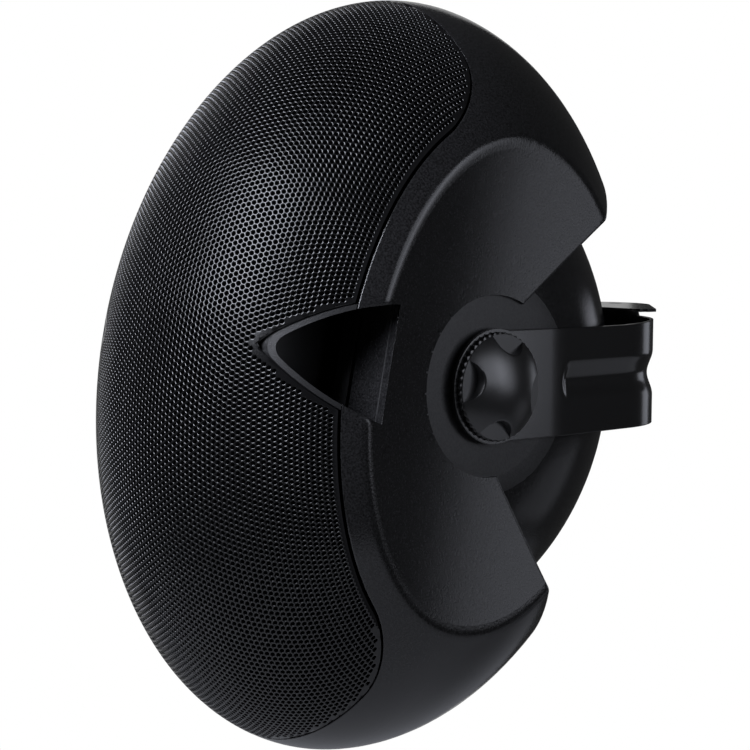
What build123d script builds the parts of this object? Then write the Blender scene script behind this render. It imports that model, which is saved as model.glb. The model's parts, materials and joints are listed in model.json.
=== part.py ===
from build123d import *
import math
import os

# Outdoor loudspeaker on a U-bracket. Millimetres. X runs to the right, Y to the rear and Z up.
# Every piece is drawn about the tilt axis, which is X through the origin, with the cabinet level.
# The last section tilts the cabinet's pieces and moves all of them so that the lug's hole is the origin.

# Egg-shaped cabinet
cabinet_height = 340.0
egg_width = 236.0
egg_front = 114.0
egg_rear = 126.0
side_dish = 3.6
ridge_radius = 6.0
wall = 3.5
rest_tilt = 11.4

# Hub faces on the sides, and the wedge of room behind them in which the bracket swings
hub_sink = 5.0
hub_radius = 38.5
swing_half_angle = 48.6
swing_offset = 16.2
lobe_radius = 1.4
tick_count = 7
tick_step = 12.9
tick_length = 2.2
tick_width = 0.8

# Front opening and grille
opening_width = 171.2
opening_edge = 23.5
side_lip = 7.0
opening_corner = 20.0
grille_sheet = 1.0
grille_flange = 6.0
grille_gap = 0.9
mesh_pitch = 20.0
mesh_bar = 4.0
mesh_border = 6.0
lining_gap = 0.3
lining_thickness = 0.8

# Port mouths
port_height = 48.6
port_length = 38.1
port_side_radius = 52.3
port_nose_radius = 8.0
port_rim = 1.8
port_gap = 0.6
port_shelf = 3.4
port_depth = 39.1
throat_width = 12.1
throat_height = 36.0
duct_wall = 2.0
duct_length = 46.0

# Front baffle and its landing in the cabinet
baffle_reach = 60.4
baffle_side_gap = 18.1
baffle_top_gap = 6.7
baffle_plate = 4.0
baffle_skirt = 3.0
seam_gap = 2.0
seal_thickness = 1.0
landing = 4.0
landing_width = 15.5
baffle_screw_inset = 9.5
baffle_screw_z = 45.0
baffle_boss_radius = 5.0
baffle_boss_length = 7.0

# Woofers
driver_gap = 4.0
woofer_edge = 3.5
woofer_rim = 6.0
woofer_flange = 2.5
basket_taper = 14.0
basket_depth = 33.4
basket_sheet = 1.5
basket_plate = 14.0
leg_width = 12.0
leg_count = 4
roll_width = 5.0
cone_depth = 21.0
cone_sheet = 0.8
cap_rise = 5.0
neck_radius = 12.3
surround_sheet = 0.6
surround_lip = 2.0
surround_roll = 1.6
surround_gap = 0.35
magnet_lip = 2.0
magnet_length = 19.0

# Tweeter
tweeter_radius = 30.0
tweeter_flange = 3.0
tweeter_body = 18.5
tweeter_throat = 12.9
tweeter_depth = 7.0
dome_radius = 12.5
dome_rise = 4.0
dome_sheet = 0.5
dome_gap = 0.6
tweeter_magnet_length = 13.4

# Crossover on posts behind the baffle
board_width = 78.0
board_height = 54.0
board_thickness = 1.6
board_reach = 19.0
post_x = 34.0
post_z = 22.0
post_radius = 3.0
coil_radius = 11.0
coil_bore = 5.0
coil_height = 12.0
capacitor_radius = 6.0
capacitor_length = 24.0

# Terminal cup on the rear of the barrel
terminal_angle = 36.0
terminal_reach = 119.5
terminal_width = 54.0
terminal_height = 42.0
terminal_pad = 6.0
cup_width = 42.0
cup_height = 30.0
cup_depth = 16.0
cup_wall = 2.0
cup_flange = 2.5
block_depth = 13.0
screw_sink = 2.5
terminal_pitch = 13.0

# Tilt clamp: washer, strap, knob, stud and threaded insert
washer_radius = 20.0
washer_thickness = 2.2
clamp_gap = 0.3
stud_radius = 4.0
stud_length = 27.0
running_gap = 0.05
insert_radius = 6.5
insert_length = 20.0
boss_radius = 13.0
knob_radius = 22.2
knob_skirt = 2.2
knob_dome = 10.0
knob_teeth = 46
tooth_depth = 0.9
pocket_radius = 9.0
pocket_ring = 23.0
pocket_count = 4

# U-bracket
strap_sheet = 1.5
strap_height = 46.6
pad_radius = 24.5
strap_hole_radius = 4.5
arm_straight = 34.0
arm_lean = 5.0
arm_bend_radius = 40.0
bracket_clearance = 7.4
bracket_corner = 52.0
back_height = 49.8
bead_start = 41.0
bead_ramp = 16.0
bead_height = 20.0
bead_floor = 8.0
bead_depth = 2.0
lug_level = 27.8
lug_root = 107.6
lug_wall = 104.0
lug_hole_reach = 38.0
lug_nose_radius = 28.0
lug_nose_reach = 50.0
lug_hole_radius = 3.2
lug_bend_radius = 1.0
lug_relief = 2.0

# Screws
screw_radius = 2.0
screw_head_radius = 3.5
screw_head_height = 2.0
screw_gap = 0.1
small_head_radius = 2.6
small_head_height = 1.6

# Sizes that follow from these
fit_gap = 0.3
ridge_spacing = opening_width + 2 * side_lip
hub_x = ridge_spacing / 2 - hub_sink
baffle_front = -baffle_reach
baffle_back = baffle_front + baffle_plate
landing_y = -opening_edge
baffle_foot = landing_y - seal_thickness
baffle_width = opening_width - 2 * baffle_side_gap
baffle_room = cabinet_height / 2 * math.sqrt(1 - (baffle_reach / egg_front) ** 2)
baffle_height = 2 * (baffle_room - baffle_top_gap)
baffle_screw_x = baffle_width / 2 - baffle_screw_inset
throat_inner = opening_width / 2 - port_depth
port_tip_x = egg_width / 2 * math.sqrt(1 - ((baffle_reach + port_length + port_rim) / egg_front) ** 2)
woofer_radius = (baffle_height / 2 - woofer_edge - tweeter_radius - driver_gap) / 2
woofer_spacing = baffle_height - 2 * (woofer_edge + woofer_radius)
woofer_front = baffle_front - woofer_flange
woofer_z = woofer_spacing / 2
basket_mouth = woofer_radius - woofer_rim
basket_back = basket_mouth - basket_taper
basket_hole = basket_back - basket_plate
cone_radius = basket_mouth - roll_width
magnet_radius = basket_back + magnet_lip
basket_y = baffle_front + basket_depth
strap_in = hub_x + washer_thickness + clamp_gap
strap_out = strap_in + strap_sheet
knob_base = strap_out + clamp_gap
knob_rim = knob_base + knob_skirt
bracket_reach = hub_radius + hub_x + bracket_clearance + strap_sheet
lug_hole_y = bracket_reach + lug_hole_reach


# Cabinet form

def egg_half(inset, side_inset, reach, turn):
    """Half of the outer form, skin and side faces moved inwards: a turned outline drawn out to the reach."""
    half_width = egg_width / 2 - inset
    half_height = cabinet_height / 2 - inset
    ridge_x = ridge_spacing / 2 - side_inset
    ridge_angle = math.degrees(math.acos(ridge_x / half_width))
    ridge_z = half_height * math.sin(math.radians(ridge_angle))
    dish_x = ridge_x - side_dish
    mid_x = ridge_x - side_dish * 0.75
    with BuildPart() as half:
        with BuildSketch(Plane.XZ) as outline:
            with BuildLine():
                skin_turn = 180 - 2 * ridge_angle
                EllipticalCenterArc((0, 0), half_width, half_height, ridge_angle, arc_size=skin_turn)
                ThreePointArc((-ridge_x, ridge_z), (-mid_x, ridge_z / 2), (-dish_x, 0))
                Line((-dish_x, 0), (dish_x, 0))
                ThreePointArc((dish_x, 0), (mid_x, ridge_z / 2), (ridge_x, ridge_z))
            make_face()
            fillet(outline.vertices().group_by(Axis.Y)[-1], max(ridge_radius - inset, 1.0))
        revolve(axis=Axis.X, revolution_arc=turn)
        scale(by=(1, (reach - inset) / half_height, 1))
    return half.part


def egg(inset, side_inset):
    """Whole outer form, its skin and its side faces moved inwards."""
    with BuildPart() as form:
        add(egg_half(inset, side_inset, egg_front, 180))
        add(egg_half(inset, side_inset, egg_rear, -180))
    return form.part


def swing_room(grow):
    """Room for the bracket: a rear wedge and a disc on each hub, round a barrel with curved shoulders."""
    half_angle = math.radians(swing_half_angle)
    offset_out = swing_offset + grow
    far_y = egg_rear + hub_radius
    far_z = (far_y * math.sin(half_angle) + offset_out) / math.cos(half_angle)
    shoulder = hub_x - grow
    with BuildPart() as room:
        with BuildSketch(Plane.YZ):
            with BuildLine():
                Polyline((-offset_out / math.sin(half_angle), 0), (far_y, far_z), (far_y, -far_z), close=True)
            make_face()
            Circle(hub_radius + grow)
        extrude(amount=egg_width / 2, both=True)
        with BuildSketch(Plane.XZ):
            with BuildLine():
                Line((shoulder, 0), (shoulder, hub_radius))
                ThreePointArc((shoulder, hub_radius), (0, hub_radius + shoulder), (-shoulder, hub_radius))
                Line((-shoulder, hub_radius), (-shoulder, 0))
                Line((-shoulder, 0), (shoulder, 0))
            make_face()
        revolve(axis=Axis.X, mode=Mode.SUBTRACT)
    return room.part


def opening_block(grow):
    """Block that takes the front opening out of the form, with round rear corners, grown by grow."""
    with BuildPart() as block:
        with BuildSketch(Plane.XY) as plan:
            with Locations((0, landing_y + grow)):
                Rectangle(opening_width + 2 * grow, 2 * egg_front, align=(Align.CENTER, Align.MAX))
            fillet(plan.vertices().group_by(Axis.Y)[-1], opening_corner + grow)
        extrude(amount=cabinet_height, both=True)
    return block.part


def port_block(grow, start):
    """Pointed outline of both port mouths, grown by grow, run outwards from the distance start."""
    half_height = port_height / 2
    chord = math.hypot(port_length, half_height)
    rise = math.sqrt(port_side_radius ** 2 - chord ** 2 / 4)
    centre_y = baffle_front - port_length / 2 + rise * half_height / chord
    centre_z = half_height / 2 - rise * port_length / chord
    radius = port_side_radius + grow
    base_z = centre_z + math.sqrt(radius ** 2 - (baffle_front - centre_y) ** 2)
    tip_y = centre_y - math.sqrt(radius ** 2 - centre_z ** 2)
    with BuildPart() as block:
        with BuildSketch(Plane.YZ.offset(start)) as outline:
            with BuildLine():
                Line((baffle_front, -base_z), (baffle_front, base_z))
                RadiusArc((baffle_front, base_z), (tip_y, 0), -radius)
                RadiusArc((tip_y, 0), (baffle_front, -base_z), -radius)
            make_face()
            fillet(outline.vertices().group_by(Axis.X)[0], port_nose_radius + grow)
        extrude(amount=egg_width / 2 - start)
        mirror(about=Plane.YZ)
    return block.part


def slot_sketch(inset, mode=Mode.ADD):
    """Upright slot outline of the baffle, moved inwards by inset."""
    SlotOverall(baffle_height - 2 * inset, baffle_width - 2 * inset, rotation=90, mode=mode)


outer_form = egg(0, 0)
terminal_turn = math.radians(terminal_angle)
terminal_out = Vector(0, math.cos(terminal_turn), -math.sin(terminal_turn))
terminal_seat = Plane(terminal_out * terminal_reach, x_dir=(1, 0, 0), z_dir=terminal_out)

# Hollow of the cabinet, with the hub bosses and the terminal pad left standing
with BuildPart() as cavity:
    add(egg(wall, wall))
    add(swing_room(wall), mode=Mode.SUBTRACT)
    with BuildSketch(Plane.XZ.offset(-landing_y - landing)):
        Rectangle(egg_width, cabinet_height)
    extrude(amount=egg_front, mode=Mode.SUBTRACT)
    with BuildSketch(Plane.YZ.offset(hub_x - insert_length - wall)):
        RegularPolygon(boss_radius, 8)
    extrude(amount=insert_length + wall, mode=Mode.SUBTRACT)
    with BuildSketch(Plane.YZ.offset(-hub_x)):
        RegularPolygon(boss_radius, 8)
    extrude(amount=insert_length + wall, mode=Mode.SUBTRACT)
    with BuildSketch(terminal_seat.offset(-terminal_pad)):
        Rectangle(terminal_width + 2 * wall, terminal_height + 2 * wall)
    extrude(amount=hub_x, mode=Mode.SUBTRACT)
    with BuildSketch(Plane.XZ.offset(-landing_y - landing)):
        with GridLocations(2 * baffle_screw_x, 2 * baffle_screw_z, 2, 2):
            RegularPolygon(baffle_boss_radius, 8)
    extrude(amount=-baffle_boss_length, mode=Mode.SUBTRACT)

# Cabinet shell
with BuildPart() as rear_cabinet:
    add(outer_form)
    add(swing_room(0), mode=Mode.SUBTRACT)
    add(cavity.part, mode=Mode.SUBTRACT)
    add(opening_block(0), mode=Mode.SUBTRACT)
    with BuildSketch(Plane.XZ.offset(-landing_y)):
        slot_sketch(-fit_gap)
    extrude(amount=opening_corner / 2, mode=Mode.SUBTRACT)
    with BuildSketch(Plane.XZ.offset(-landing_y)):
        slot_sketch(landing_width)
        duct_grow = duct_wall + fit_gap
        Rectangle(2 * (throat_inner + throat_width + duct_grow), throat_height + 2 * duct_grow)
    extrude(amount=-landing, mode=Mode.SUBTRACT)
    with BuildSketch(Plane.XZ.offset(baffle_reach)):
        shelf_in = baffle_width / 2 + seam_gap
        with Locations((shelf_in, 0)):
            Rectangle(hub_x - shelf_in, port_height + 2 * wall, align=(Align.MIN, Align.CENTER))
        with Locations((-shelf_in, 0)):
            Rectangle(hub_x - shelf_in, port_height + 2 * wall, align=(Align.MAX, Align.CENTER))
    extrude(amount=-port_shelf)
    add(port_block(0, opening_width / 2 - 1), mode=Mode.SUBTRACT)
    with BuildSketch(Plane.YZ.offset(hub_x)):
        RegularPolygon(insert_radius, 6)
    extrude(amount=-insert_length, mode=Mode.SUBTRACT)
    with BuildSketch(Plane.YZ.offset(-hub_x)):
        RegularPolygon(insert_radius, 6)
    extrude(amount=insert_length, mode=Mode.SUBTRACT)
    for side in (1, -1):
        with BuildSketch(Plane.YZ.offset(side * (ridge_spacing / 2 - side_dish))):
            for step in range(tick_count):
                turn = 180 + (step - (tick_count - 1) / 2) * tick_step
                with PolarLocations(hub_radius, 1, start_angle=turn):
                    Rectangle(2 * tick_length, tick_width)
        extrude(amount=side * side_dish, mode=Mode.SUBTRACT)
    with BuildSketch(terminal_seat):
        Rectangle(terminal_width, terminal_height)
    extrude(amount=hub_x, mode=Mode.SUBTRACT)
    with BuildSketch(terminal_seat):
        Rectangle(cup_width, cup_height)
    extrude(amount=-terminal_pad, mode=Mode.SUBTRACT)
    with BuildSketch(Plane.XZ.offset(-landing_y)):
        with GridLocations(2 * baffle_screw_x, 2 * baffle_screw_z, 2, 2):
            RegularPolygon(screw_radius, 8)
    extrude(amount=-landing - baffle_boss_length, mode=Mode.SUBTRACT)
    wall_turn = math.radians(swing_half_angle)
    for side in (1, -1):
        facing = Vector(0, math.sin(wall_turn), side * math.cos(wall_turn))
        lobe_walls = [face for face in rear_cabinet.faces().filter_by(Plane(origin=(0, 0, 0), z_dir=facing))
                      if face.normal_at().dot(facing) > 0]
        lobe_edges = max(lobe_walls, key=lambda face: face.area).edges().sort_by(SortBy.LENGTH)[2:-1]
        fillet(lobe_edges, min(lobe_radius, hub_sink - side_dish))

# Front grille: sheet skin with a turned-in edge, notched for the port mouths and open as a staggered grid

def in_mesh_field(x, z):
    """Whether an opening at this place of the front view is inside the grille's edge and clear of the ports."""
    room = 1 - (x / (egg_width / 2)) ** 2 - (z / (cabinet_height / 2)) ** 2
    edge = mesh_pitch / 2 + mesh_border
    beside_port = abs(z) < port_height / 2 + edge and abs(x) > port_tip_x - edge
    return abs(x) < opening_width / 2 - edge and room > (baffle_reach / egg_front) ** 2 and not beside_port


mesh_column = mesh_pitch * math.sqrt(0.75)
mesh_places = [
    (column * mesh_column, (row + column % 2 / 2) * mesh_pitch)
    for column in range(-round(egg_width / 2 / mesh_column), round(egg_width / 2 / mesh_column) + 1)
    for row in range(-round(cabinet_height / 2 / mesh_pitch), round(cabinet_height / 2 / mesh_pitch) + 1)
]
with BuildPart() as grille_hollow:
    add(egg(grille_sheet, 0))
    add(opening_block(-grille_gap - grille_sheet), mode=Mode.INTERSECT)
    add(egg(grille_flange, 0))
with BuildPart() as front_grille:
    add(outer_form)
    add(opening_block(-grille_gap), mode=Mode.INTERSECT)
    add(grille_hollow.part, mode=Mode.SUBTRACT)
    add(port_block(port_rim + port_gap, throat_inner - port_rim - port_gap), mode=Mode.SUBTRACT)
    with BuildSketch(Plane.XZ.offset(baffle_reach)):
        with Locations([place for place in mesh_places if in_mesh_field(*place)]):
            RegularPolygon((mesh_pitch - mesh_bar) / 2, 6, major_radius=False)
    extrude(amount=egg_front, mode=Mode.SUBTRACT)

# Black lining cloth behind the grille's sheet
lining_depth = grille_sheet + lining_gap
with BuildPart() as grille_lining:
    add(egg(lining_depth, 0))
    add(opening_block(-grille_gap - lining_depth), mode=Mode.INTERSECT)
    add(egg(lining_depth + lining_thickness, 0), mode=Mode.SUBTRACT)
    add(port_block(port_rim + port_gap, throat_inner - port_rim - port_gap), mode=Mode.SUBTRACT)

# Port collars, trimmed flush with the grille
with BuildPart() as collars:
    add(outer_form)
    add(port_block(port_rim, throat_inner - port_rim), mode=Mode.INTERSECT)
    add(opening_block(-fit_gap), mode=Mode.INTERSECT)
    add(port_block(0, throat_inner), mode=Mode.SUBTRACT)

# Front baffle: tray, driver holes, port collars and ducts, posts and screw columns
with BuildPart() as front_baffle:
    with BuildSketch(Plane.XZ.offset(baffle_reach)):
        slot_sketch(0)
    extrude(amount=baffle_front - baffle_foot)
    with BuildSketch(Plane.XZ.offset(-baffle_back)):
        slot_sketch(baffle_skirt)
    extrude(amount=baffle_back - baffle_foot, mode=Mode.SUBTRACT)
    with BuildSketch(Plane.XZ.offset(-baffle_back)):
        with GridLocations(2 * baffle_screw_x, 2 * baffle_screw_z, 2, 2):
            RegularPolygon(baffle_boss_radius, 8)
    extrude(amount=baffle_back - baffle_foot)
    with BuildSketch(Plane.XZ.offset(-baffle_back)):
        with GridLocations(2 * post_x, 2 * post_z, 2, 2):
            RegularPolygon(post_radius, 8)
    extrude(amount=baffle_back + board_reach)
    with BuildSketch(Plane.XZ.offset(-baffle_back)):
        with GridLocations(2 * throat_inner + throat_width, 0, 2, 1):
            Rectangle(throat_width + 2 * duct_wall, throat_height + 2 * duct_wall)
    extrude(amount=-duct_length)
    add(collars.part)
    with BuildSketch(Plane.XZ.offset(baffle_reach)):
        with GridLocations(2 * throat_inner + throat_width, 0, 2, 1):
            Rectangle(throat_width, throat_height)
    extrude(amount=-baffle_plate - duct_length, mode=Mode.SUBTRACT)
    with BuildSketch(Plane.XZ.offset(baffle_reach)):
        with GridLocations(0, woofer_spacing, 1, 2):
            Circle(basket_mouth + fit_gap)
        Circle(tweeter_body + fit_gap)
    extrude(amount=-baffle_plate, mode=Mode.SUBTRACT)
    with BuildSketch(Plane.XZ.offset(baffle_reach)):
        with GridLocations(2 * baffle_screw_x, 2 * baffle_screw_z, 2, 2):
            RegularPolygon(screw_radius + screw_gap, 8)
    extrude(amount=baffle_front - baffle_foot, mode=Mode.SUBTRACT)

with BuildPart() as baffle_seal:
    with BuildSketch(Plane.XZ.offset(-baffle_foot)):
        slot_sketch(0)
        slot_sketch(baffle_skirt, Mode.SUBTRACT)
    extrude(amount=-seal_thickness)

with BuildPart() as baffle_screws:
    with BuildSketch(Plane.XZ.offset(baffle_reach)):
        with GridLocations(2 * baffle_screw_x, 2 * baffle_screw_z, 2, 2):
            RegularPolygon(screw_head_radius, 8)
    extrude(amount=screw_head_height)
    with BuildSketch(Plane.XZ.offset(baffle_reach)):
        with GridLocations(2 * baffle_screw_x, 2 * baffle_screw_z, 2, 2):
            RegularPolygon(screw_radius, 8)
    extrude(amount=baffle_front - landing_y - landing)


# Woofer, drawn about the Y axis

with BuildPart() as woofer_frame:
    with BuildSketch(Plane.XY):
        with Locations((basket_mouth - basket_sheet, woofer_front)):
            Rectangle(woofer_radius - basket_mouth + basket_sheet, woofer_flange, align=Align.MIN)
    revolve(axis=Axis.Y)
    with BuildSketch(Plane.XZ.offset(basket_sheet - basket_y)):
        RegularPolygon(basket_back, 12)
        RegularPolygon(basket_hole, 12, mode=Mode.SUBTRACT)
    extrude(amount=-basket_sheet)
    for leg in range(leg_count):
        with BuildSketch(Plane.XY.rotated((0, leg * 360 / leg_count, 0))):
            Polygon(
                (basket_mouth - basket_sheet / 2, baffle_front - woofer_flange / 2),
                (basket_mouth - basket_sheet / 2, baffle_front),
                (basket_back, basket_y),
                (basket_back - 2 * basket_sheet, basket_y),
                (basket_mouth - 2 * basket_sheet, baffle_front),
                (basket_mouth - basket_sheet, baffle_front - woofer_flange / 2),
                align=None,
            )
        extrude(amount=leg_width / 2, both=True)

with BuildPart() as woofer_magnet:
    with BuildSketch(Plane.XZ.offset(-basket_y)):
        Circle(magnet_radius)
    extrude(amount=-magnet_length)

with BuildPart() as woofer_cone:
    neck_y = woofer_front + cone_depth
    with BuildSketch(Plane.XY):
        Polygon(
            (0, neck_y - cap_rise),
            (neck_radius, neck_y),
            (cone_radius, woofer_front),
            (cone_radius, woofer_front - cone_sheet),
            (neck_radius, neck_y - cone_sheet),
            (0, neck_y - cap_rise - cone_sheet),
            align=None,
        )
    revolve(axis=Axis.Y)

with BuildPart() as woofer_surround:
    roll_in = cone_radius + surround_gap
    roll_out = basket_mouth - basket_sheet
    with BuildSketch(Plane.XY):
        Polygon(
            (roll_out + surround_lip, woofer_front),
            (roll_out, woofer_front - surround_roll),
            (roll_in, woofer_front - surround_roll),
            (roll_in, woofer_front - surround_roll + surround_sheet),
            (roll_out - surround_sheet, woofer_front),
            align=None,
        )
    revolve(axis=Axis.Y)

# Tweeter, drawn about the Y axis

throat_y = baffle_front + tweeter_depth
with BuildPart() as tweeter_waveguide:
    with BuildSketch(Plane.XY):
        Polygon(
            (tweeter_radius, baffle_front),
            (tweeter_radius, baffle_front - tweeter_flange),
            (tweeter_throat, throat_y - dome_rise),
            (tweeter_throat, throat_y),
            (tweeter_body, throat_y),
            (tweeter_body, baffle_front),
            align=None,
        )
    revolve(axis=Axis.Y)

with BuildPart() as tweeter_magnet:
    with BuildSketch(Plane.XZ.offset(-throat_y)):
        Circle(tweeter_body)
    extrude(amount=-tweeter_magnet_length)

with BuildPart() as tweeter_dome:
    dome_y = throat_y - dome_gap
    with BuildSketch(Plane.XY):
        Polygon(
            (0, dome_y - dome_rise),
            (dome_radius * 0.6, dome_y - dome_rise * 0.7),
            (dome_radius, dome_y - dome_sheet),
            (dome_radius, dome_y),
            (0, dome_y),
            align=None,
        )
    revolve(axis=Axis.Y)


# Crossover

board_back = -board_reach + board_thickness
with BuildPart() as crossover_board:
    with BuildSketch(Plane.XZ.offset(board_reach)):
        Rectangle(board_width, board_height)
    extrude(amount=-board_thickness)

with BuildPart() as crossover_coil:
    with BuildSketch(Plane.XZ.offset(-board_back)):
        with Locations((-board_width / 4, 0)):
            RegularPolygon(coil_radius, 12)
            RegularPolygon(coil_bore, 12, mode=Mode.SUBTRACT)
    extrude(amount=-coil_height)

with BuildPart() as crossover_capacitors:
    with BuildSketch(Plane.XY.offset(-capacitor_length / 2)):
        with Locations((board_width / 12, board_back + capacitor_radius)):
            RegularPolygon(capacitor_radius, 12)
        with Locations((board_width / 4 + capacitor_radius / 2, board_back + capacitor_radius)):
            RegularPolygon(capacitor_radius, 12)
    extrude(amount=capacitor_length)


# Terminals

with BuildPart() as terminal_cup:
    with BuildSketch(terminal_seat):
        Rectangle(terminal_width - 2 * fit_gap, terminal_height - 2 * fit_gap)
    extrude(amount=cup_flange)
    with BuildSketch(terminal_seat):
        Rectangle(cup_width - 2 * fit_gap, cup_height - 2 * fit_gap)
    extrude(amount=-cup_depth)
    with BuildSketch(terminal_seat.offset(cup_flange)):
        Rectangle(cup_width - 2 * cup_wall, cup_height - 2 * cup_wall)
    extrude(amount=cup_wall - cup_depth - cup_flange, mode=Mode.SUBTRACT)

block_seat = terminal_seat.offset(cup_wall - cup_depth)
with BuildPart() as terminal_block:
    with BuildSketch(block_seat):
        Rectangle(cup_width - 2 * cup_wall - 2 * fit_gap, cup_height - 2 * cup_wall - 2 * fit_gap)
    extrude(amount=block_depth)
    with BuildSketch(block_seat.offset(block_depth)):
        with GridLocations(terminal_pitch, 0, 2, 1):
            RegularPolygon(small_head_radius, 8)
    extrude(amount=-screw_sink, mode=Mode.SUBTRACT)

with BuildPart() as terminal_screws:
    with BuildSketch(block_seat.offset(block_depth - screw_sink)):
        with GridLocations(terminal_pitch, 0, 2, 1):
            RegularPolygon(small_head_radius, 8)
    extrude(amount=small_head_height)


# Tilt clamp on the right side, mirrored for the left

with BuildPart() as thread_insert:
    with BuildSketch(Plane.YZ.offset(hub_x)):
        RegularPolygon(insert_radius, 6)
        Circle(stud_radius + running_gap, mode=Mode.SUBTRACT)
    extrude(amount=-insert_length)

with BuildPart() as friction_washer:
    with BuildSketch(Plane.YZ.offset(hub_x)):
        Circle(washer_radius)
        Circle(strap_hole_radius, mode=Mode.SUBTRACT)
    extrude(amount=washer_thickness)

stud_end = knob_rim + knob_dome / 2
with BuildPart() as clamp_stud:
    with BuildSketch(Plane.YZ.offset(stud_end)):
        Circle(stud_radius)
    extrude(amount=-stud_length)

with BuildPart() as clamp_knob:
    with BuildSketch(Plane.YZ.offset(knob_base)):
        with BuildLine():
            Polyline(
                [
                    (
                        (knob_radius + tooth_depth * (corner % 2)) * math.cos(math.pi * corner / knob_teeth),
                        (knob_radius + tooth_depth * (corner % 2)) * math.sin(math.pi * corner / knob_teeth),
                    )
                    for corner in range(2 * knob_teeth)
                ],
                close=True,
            )
        make_face()
    extrude(amount=knob_skirt)
    with BuildSketch(Plane.XZ):
        with BuildLine():
            dome_ball = (knob_radius ** 2 + knob_dome ** 2) / (2 * knob_dome)
            RadiusArc((knob_rim, knob_radius), (knob_rim + knob_dome, 0), dome_ball)
            Line((knob_rim + knob_dome, 0), (knob_rim, 0))
            Line((knob_rim, 0), (knob_rim, knob_radius))
        make_face()
    revolve(axis=Axis.X)
    with BuildSketch(Plane.YZ.offset(knob_rim)):
        with PolarLocations(pocket_ring, pocket_count):
            Circle(pocket_radius)
    extrude(amount=knob_dome, mode=Mode.SUBTRACT)
    with BuildSketch(Plane.YZ.offset(knob_base)):
        Circle(stud_radius)
    extrude(amount=stud_end - knob_base, mode=Mode.SUBTRACT)


# U-bracket

def strap_path(depth, start):
    """U-shaped line at a depth under the strap's outer face, from the distance start along each arm."""
    lean = math.radians(arm_lean)
    back_y = bracket_reach - depth
    arm_x = strap_out - depth
    bend_y = arm_straight
    corner_x = arm_x - (back_y - bend_y) * math.tan(lean)
    points = [(arm_x, start), (arm_x, bend_y), (corner_x, back_y)]
    radii = [arm_bend_radius, bracket_corner - depth]
    if start > bend_y:
        points = [(arm_x - (start - bend_y) * math.tan(lean), start), (corner_x, back_y)]
        radii = [bracket_corner - depth]
    points = points + [(-x, y) for x, y in reversed(points)]
    return FilletPolyline(points, radius=radii + radii[::-1])


def bead_points(rise, grow):
    """Corners of the bead's section at a rise, as depth and height; grow adds the sheet under it."""
    slope = (bead_height - bead_floor) / (2 * bead_depth)
    floor = (bead_floor + grow) / 2
    mouth_depth = grow / 2 if grow else -strap_sheet
    mouth = floor + slope * (rise + grow - mouth_depth)
    return [(mouth_depth, mouth), (rise + grow, floor), (rise + grow, -floor), (mouth_depth, -mouth)]


def bead(grow):
    """Stiffening bead round the strap with a ramp at each end, as a solid."""
    with BuildLine() as run:
        strap_path(0, bead_start + bead_ramp)
    along = run.line % 0
    full = Plane(run.line @ 0, x_dir=(-along.Y, along.X, 0), z_dir=along)
    with BuildPart() as body:
        for place, rise in ((full.offset(-bead_ramp), bead_depth / 50), (full, bead_depth)):
            with BuildSketch(place):
                Polygon(*bead_points(rise, grow), align=None)
        loft()
        mirror(about=Plane.YZ)
        with BuildSketch(full):
            Polygon(*bead_points(bead_depth, grow), align=None)
        sweep(path=run.line)
    return body.part


with BuildPart() as u_bracket:
    with BuildSketch(Plane.XY):
        with BuildLine():
            strap_path(strap_sheet / 2, -pad_radius)
        trace(line_width=strap_sheet)
    extrude(amount=lug_level, both=True)
    with BuildSketch(Plane.YZ):
        with BuildLine():
            flare_y = bracket_reach - bracket_corner
            Polyline(
                (0, -strap_height / 2),
                (bracket_reach, -strap_height / 2),
                (bracket_reach, back_height / 2),
                (flare_y, strap_height / 2),
                (0, strap_height / 2),
                close=True,
            )
        make_face()
        Circle(pad_radius)
        Circle(strap_hole_radius, mode=Mode.SUBTRACT)
    extrude(amount=egg_width / 2, both=True, mode=Mode.INTERSECT)
    add(bead(strap_sheet))
    add(bead(0), mode=Mode.SUBTRACT)
    with BuildSketch(Plane.XZ.offset(-bracket_reach)):
        with Locations((0, bead_height)):
            Rectangle(lug_wall, lug_level - bead_height, align=(Align.CENTER, Align.MIN))
    extrude(amount=strap_sheet)
    with BuildSketch(Plane.XY.offset(lug_level - strap_sheet)):
        with BuildLine():
            nose_y = bracket_reach + lug_nose_reach - lug_nose_radius
            shoulder = lug_nose_radius * math.sin(math.radians(45))
            side_y = nose_y + 2 * shoulder - lug_root / 2
            edge = [
                (shoulder, nose_y + shoulder),
                (lug_root / 2, side_y),
                (lug_root / 2, bracket_reach + lug_relief),
                (lug_wall / 2, bracket_reach + lug_relief),
                (lug_wall / 2, bracket_reach - strap_sheet),
            ]
            Polyline(edge + [(-x, y) for x, y in reversed(edge)])
            ThreePointArc(
                (-shoulder, nose_y + shoulder),
                (0, nose_y + lug_nose_radius),
                (shoulder, nose_y + shoulder),
            )
        make_face()
        with Locations((0, lug_hole_y)):
            Circle(lug_hole_radius, mode=Mode.SUBTRACT)
    extrude(amount=strap_sheet)
    bend_edges = u_bracket.edges().filter_by(Axis.X)
    fillet(bend_edges.sort_by_distance((0, bracket_reach, lug_level - strap_sheet))[0], lug_bend_radius)
    bend_edges = u_bracket.edges().filter_by(Axis.X)
    outer_bend = bend_edges.sort_by_distance((0, bracket_reach - strap_sheet, lug_level))[0]
    fillet(outer_bend, lug_bend_radius + strap_sheet)


# Placing and writing the pieces

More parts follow.
